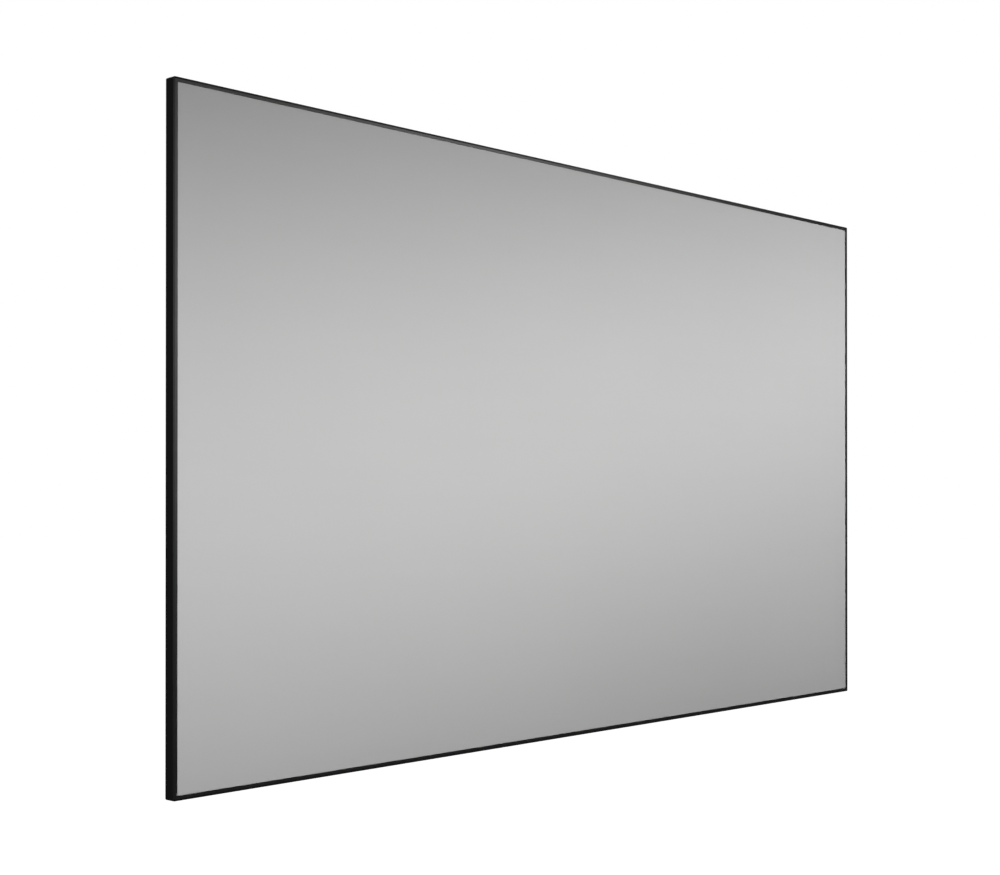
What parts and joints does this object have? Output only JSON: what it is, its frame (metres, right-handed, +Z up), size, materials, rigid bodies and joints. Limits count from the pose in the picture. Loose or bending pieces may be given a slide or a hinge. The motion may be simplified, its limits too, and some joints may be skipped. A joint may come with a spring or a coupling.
{
  "type": "frameless projector screen",
  "caption": "Fixed projection screen: grey film stretched over a rail frame with a thin black bezel, sprung at the back, on hook-on wall brackets.",
  "frame": {"origin": "centre of the bounding box", "axes": "+X to the right as the viewer sees it, +Y from the picture towards the wall, +Z up"},
  "size_m": [2.232, 0.023, 1.263],
  "materials": {
    "film": "satin",
    "bezel": "satin",
    "rail": "matte",
    "spring_steel": "satin",
    "zinc_steel": "satin",
    "screw": "satin",
    "clip": "matte"
  },
  "bodies": {
    "root": {"screen_film": "film", "top_left_bezel": "bezel", "top_right_bezel": "bezel", "bottom_left_bezel": "bezel", "bottom_right_bezel": "bezel", "left_bezel": "bezel", "right_bezel": "bezel", "top_left_rail": "rail", "top_right_rail": "rail", "bottom_left_rail": "rail", "bottom_right_rail": "rail", "left_rail": "rail", "right_rail": "rail", "top_left_rod_and_springs": "spring_steel", "top_right_rod_and_springs": "spring_steel", "bottom_left_rod_and_springs": "spring_steel", "bottom_right_rod_and_springs": "spring_steel", "left_rod_and_springs": "spring_steel", "right_rod_and_springs": "spring_steel", "top_left_corner_plate": "zinc_steel", "top_right_corner_plate": "zinc_steel", "bottom_left_corner_plate": "zinc_steel", "bottom_right_corner_plate": "zinc_steel", "top_splice_bar": "zinc_steel", "bottom_splice_bar": "zinc_steel", "top_left_wall_bracket": "zinc_steel", "top_right_wall_bracket": "zinc_steel", "bottom_left_wall_bracket": "zinc_steel", "bottom_right_wall_bracket": "zinc_steel", "top_left_corner_screw_1": "screw", "top_left_corner_screw_2": "screw", "top_left_corner_screw_3": "screw", "top_left_corner_screw_4": "screw", "top_right_corner_screw_1": "screw", "top_right_corner_screw_2": "screw", "top_right_corner_screw_3": "screw", "top_right_corner_screw_4": "screw", "bottom_left_corner_screw_1": "screw", "bottom_left_corner_screw_2": "screw", "bottom_left_corner_screw_3": "screw", "bottom_left_corner_screw_4": "screw", "bottom_right_corner_screw_1": "screw", "bottom_right_corner_screw_2": "screw", "bottom_right_corner_screw_3": "screw", "bottom_right_corner_screw_4": "screw", "top_splice_screw_1": "screw", "top_splice_screw_2": "screw", "top_splice_screw_3": "screw", "top_splice_screw_4": "screw", "bottom_splice_screw_1": "screw", "bottom_splice_screw_2": "screw", "bottom_splice_screw_3": "screw", "bottom_splice_screw_4": "screw", "centre_bar": "rail", "top_bar_clip": "clip", "bottom_bar_clip": "clip"}
  },
  "joints": []
}
